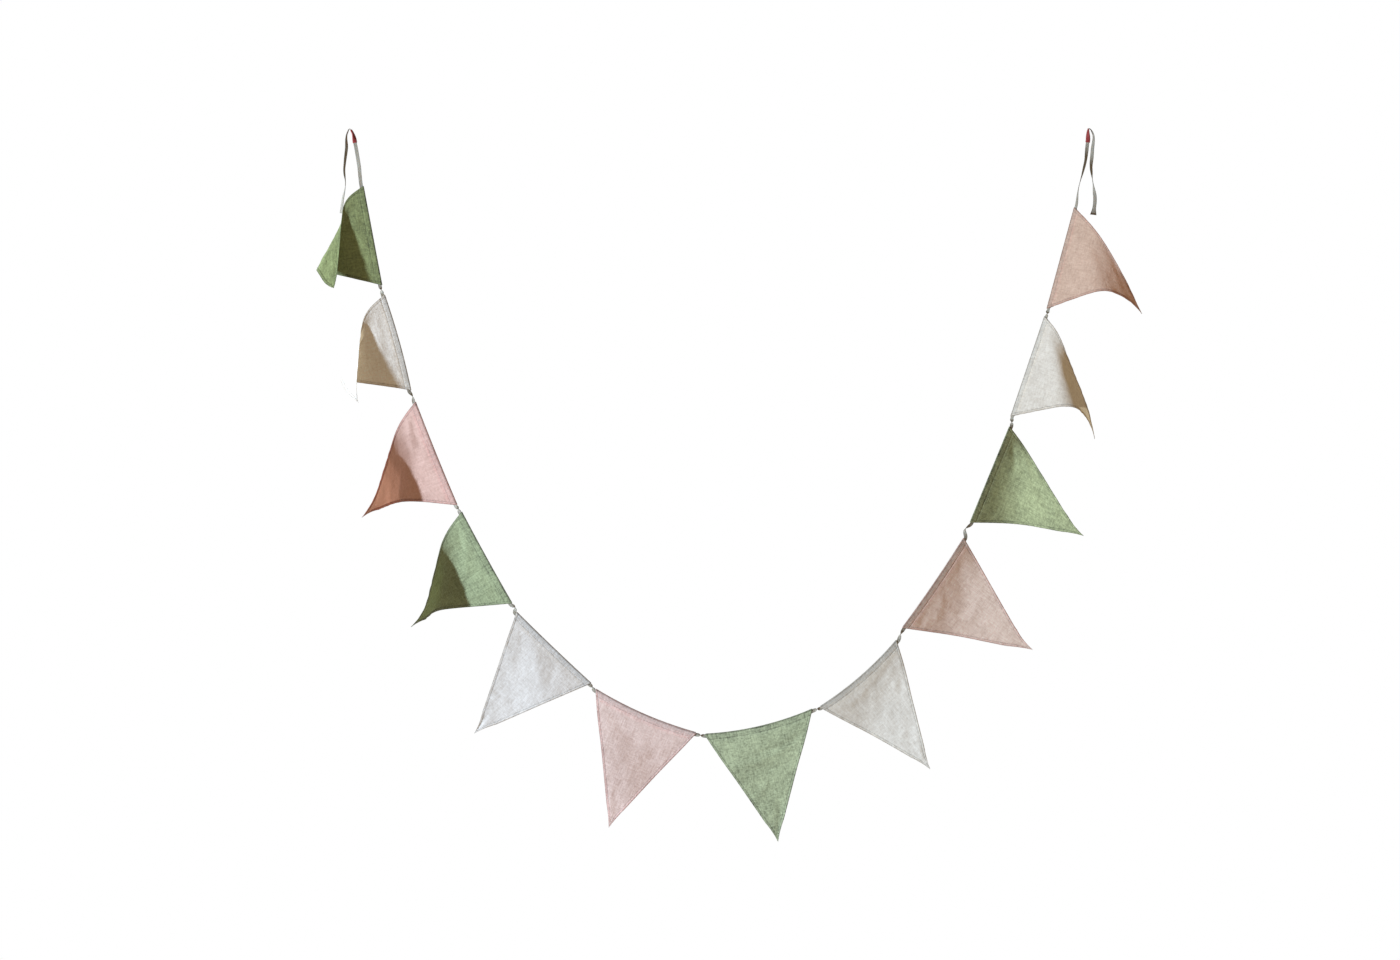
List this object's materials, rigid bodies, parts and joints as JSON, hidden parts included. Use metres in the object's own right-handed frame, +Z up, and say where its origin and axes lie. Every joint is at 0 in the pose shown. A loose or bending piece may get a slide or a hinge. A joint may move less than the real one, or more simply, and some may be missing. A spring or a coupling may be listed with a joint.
{
  "type": "fabric bunting",
  "caption": "Linen bunting of triangular pennants in sage green, off-white and dusty pink, threaded on a cotton tape that ends in tie loops.",
  "frame": {"origin": "crown of the left tie loop, in the middle of the tape", "axes": "+X runs along the bunting to the crown of the right tie loop, +Z up, -Y towards the side that is looked at"},
  "size_m": [1.498, 0.1173, 1.3028],
  "materials": {
    "linen_green": "matt plain-weave linen",
    "linen_white": "matt plain-weave linen",
    "linen_pink": "matt plain-weave linen",
    "cotton_tape": "matt woven cotton tape",
    "red_thread": "wound sewing thread"
  },
  "bodies": {
    "root": {"tape": "cotton_tape", "whipping_left": "red_thread", "whipping_right": "red_thread", "pennant_01_green": "linen_green", "pennant_02_white": "linen_white", "pennant_03_pink": "linen_pink", "pennant_04_green": "linen_green", "pennant_05_white": "linen_white", "pennant_06_pink": "linen_pink", "pennant_07_green": "linen_green", "pennant_08_white": "linen_white", "pennant_09_pink": "linen_pink", "pennant_10_green": "linen_green", "pennant_11_white": "linen_white", "pennant_12_pink": "linen_pink"}
  },
  "joints": []
}
